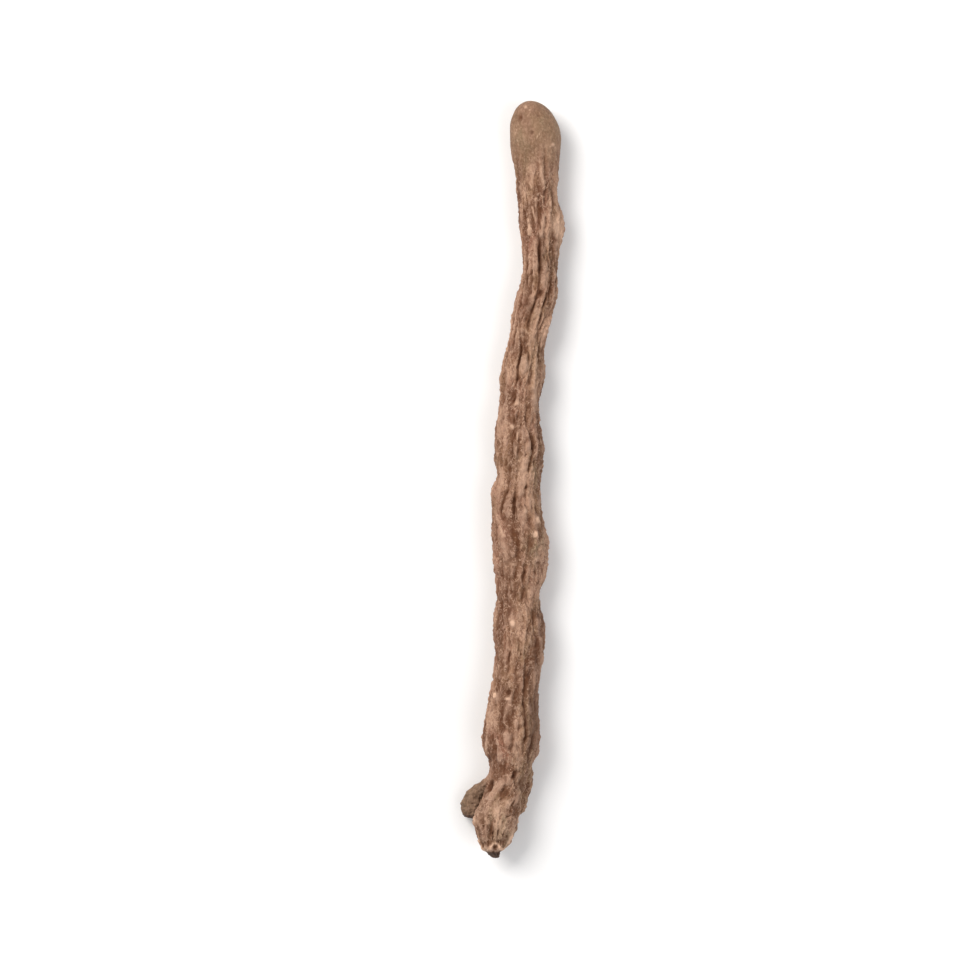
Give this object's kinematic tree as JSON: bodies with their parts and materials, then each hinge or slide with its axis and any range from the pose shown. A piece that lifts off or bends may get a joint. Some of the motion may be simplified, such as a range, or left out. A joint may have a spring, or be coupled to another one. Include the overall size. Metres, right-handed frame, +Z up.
{
  "type": "dried curculigo rhizome",
  "caption": "Long slender dried rhizome with lengthwise wrinkles, one domed end, a knobbly torn tip, a broken side stub and a small side lobe.",
  "frame": {"origin": "middle of the resting outline, on the surface it lies on", "axes": "+Y along the length towards the domed end, +X to the side away from the broken stub, +Z up"},
  "size_m": [0.0164, 0.12, 0.0088],
  "materials": {
    "dried_skin": "dry and matt, wrinkled, grey-brown with darker furrows"
  },
  "bodies": {
    "root": {"rhizome": "dried_skin"}
  },
  "joints": []
}
